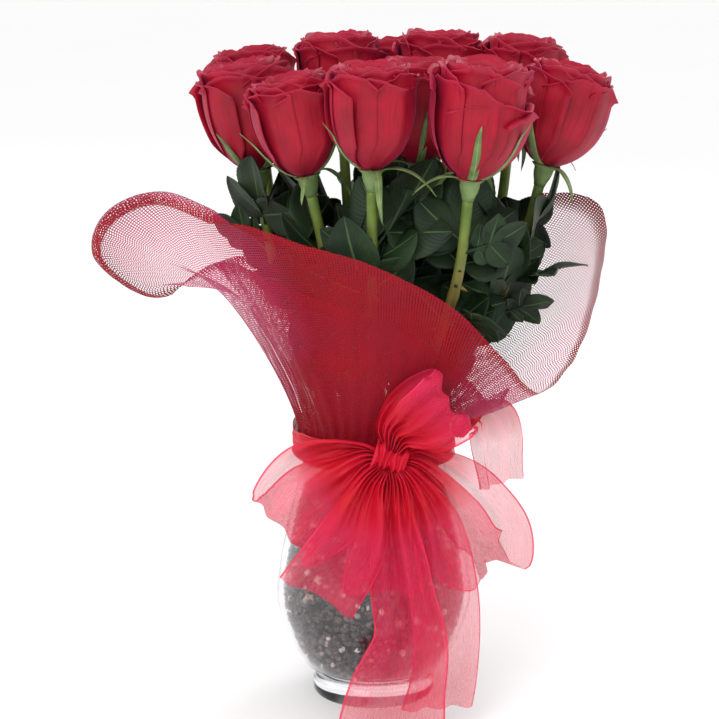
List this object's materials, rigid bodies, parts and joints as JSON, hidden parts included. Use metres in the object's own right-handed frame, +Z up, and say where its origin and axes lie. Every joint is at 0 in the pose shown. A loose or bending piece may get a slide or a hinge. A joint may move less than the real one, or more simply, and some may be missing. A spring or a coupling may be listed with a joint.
{
  "type": "roses in a vase",
  "caption": "Cut roses standing in a clear gravel-filled glass vase, with a flaring woven-mesh wrap held at the neck by a wide sheer ribbon bow whose tails run down to the table",
  "frame": {"origin": "the centre of the flat underside of the vase's foot", "axes": "+Z up along the vase's axis, -Y towards the bouquet's front, where the bow is, +X to the right as seen from the front"},
  "size_m": [0.3159, 0.2344, 0.4164],
  "materials": {
    "vase_glass": "clear, polished",
    "gravel": "fine dark gravel with scattered pale stones, in glass",
    "stem": "waxy green rose stem, reddish brown lower down",
    "sepal": "matt pale green sepals",
    "petal": "velvety crimson petals",
    "leaf": "dark green leaf, slightly glossy above and paler below",
    "mesh": "open-weave crimson decorative mesh",
    "ribbon": "sheer bright red organza with woven edges"
  },
  "bodies": {
    "root": {"vase": "vase_glass", "gravel": "gravel", "stem_01": "stem", "stem_02": "stem", "stem_03": "stem", "stem_04": "stem", "stem_05": "stem", "stem_06": "stem", "stem_07": "stem", "stem_08": "stem", "stem_09": "stem", "stem_10": "stem", "stem_11": "stem", "stem_12": "stem", "calyx_01": "sepal", "calyx_02": "sepal", "calyx_03": "sepal", "calyx_04": "sepal", "calyx_05": "sepal", "calyx_06": "sepal", "calyx_07": "sepal", "calyx_08": "sepal", "calyx_09": "sepal", "calyx_10": "sepal", "calyx_11": "sepal", "calyx_12": "sepal", "bloom_01": "petal", "bloom_02": "petal", "bloom_03": "petal", "bloom_04": "petal", "bloom_05": "petal", "bloom_06": "petal", "bloom_07": "petal", "bloom_08": "petal", "bloom_09": "petal", "bloom_10": "petal", "bloom_11": "petal", "bloom_12": "petal", "leaf_01": "leaf", "leaf_02": "leaf", "leaf_03": "leaf", "leaf_04": "leaf", "leaf_05": "leaf", "leaf_06": "leaf", "leaf_07": "leaf", "leaf_08": "leaf", "leaf_09": "leaf", "leaf_10": "leaf", "leaf_11": "leaf", "mesh_wrap": "mesh", "ribbon_band": "ribbon", "bow_knot": "ribbon", "bow_loop_left": "ribbon", "bow_loop_right": "ribbon", "bow_loop_upper": "ribbon", "bow_loop_side": "ribbon", "tail_long_front": "ribbon", "tail_long_side": "ribbon", "tail_short_front": "ribbon", "tail_short_back": "ribbon"}
  },
  "joints": []
}
